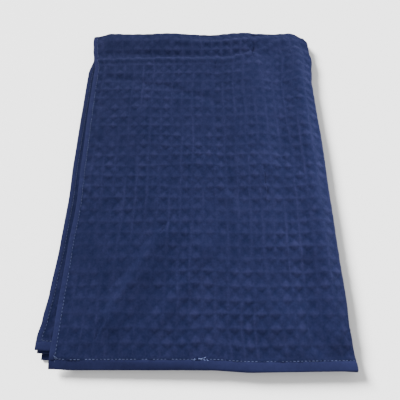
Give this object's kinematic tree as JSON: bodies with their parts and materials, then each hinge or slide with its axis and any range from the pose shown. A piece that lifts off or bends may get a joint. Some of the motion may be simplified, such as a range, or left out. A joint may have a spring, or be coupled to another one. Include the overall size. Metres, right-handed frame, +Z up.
{
  "type": "towel",
  "caption": "Hemmed waffle-weave cloth towel, folded lengthwise and then crosswise into a flat rectangle; its crosswise fold opens like a hinge.",
  "frame": {"origin": "middle of the folded towel's footprint, on the surface that it lies on", "axes": "+X towards the lengthwise fold, +Y along the towel towards the crosswise fold, +Z up"},
  "size_m": [0.2598, 0.371, 0.0105],
  "materials": {
    "cloth": "matte navy waffle weave",
    "hem": "matte navy plain weave, turned and pressed flat",
    "thread": "spun sewing thread, a little paler than the cloth"
  },
  "bodies": {
    "lower_half": {"bottom_panel": "cloth", "bottom_side_hem": "hem", "bottom_side_stitching": "thread", "lower_inner_panel": "cloth", "lower_inner_side_hem": "hem", "lower_inner_side_stitching": "thread", "lower_side_fold": "cloth", "lower_end_hem": "hem", "lower_end_stitching": "thread", "outer_end_fold": "cloth", "outer_hem_fold": "hem", "inner_end_fold": "cloth", "inner_hem_fold": "hem", "corner_fold": "cloth"},
    "upper_half": {"top_panel": "cloth", "top_side_hem": "hem", "top_side_stitching": "thread", "upper_inner_panel": "cloth", "upper_inner_side_hem": "hem", "upper_inner_side_stitching": "thread", "upper_side_fold": "cloth", "upper_end_hem": "hem", "upper_end_stitching": "thread"}
  },
  "joints": [
    {"name": "crosswise_fold", "type": "hinge", "parent": "lower_half", "child": "upper_half", "pos_m": [0, 0.18025, 0.00525], "axis": [-1, 0, 0], "range_deg": [0, 180], "deforming": ["outer_end_fold", "inner_end_fold", "corner_fold", "outer_hem_fold", "inner_hem_fold"]}
  ]
}
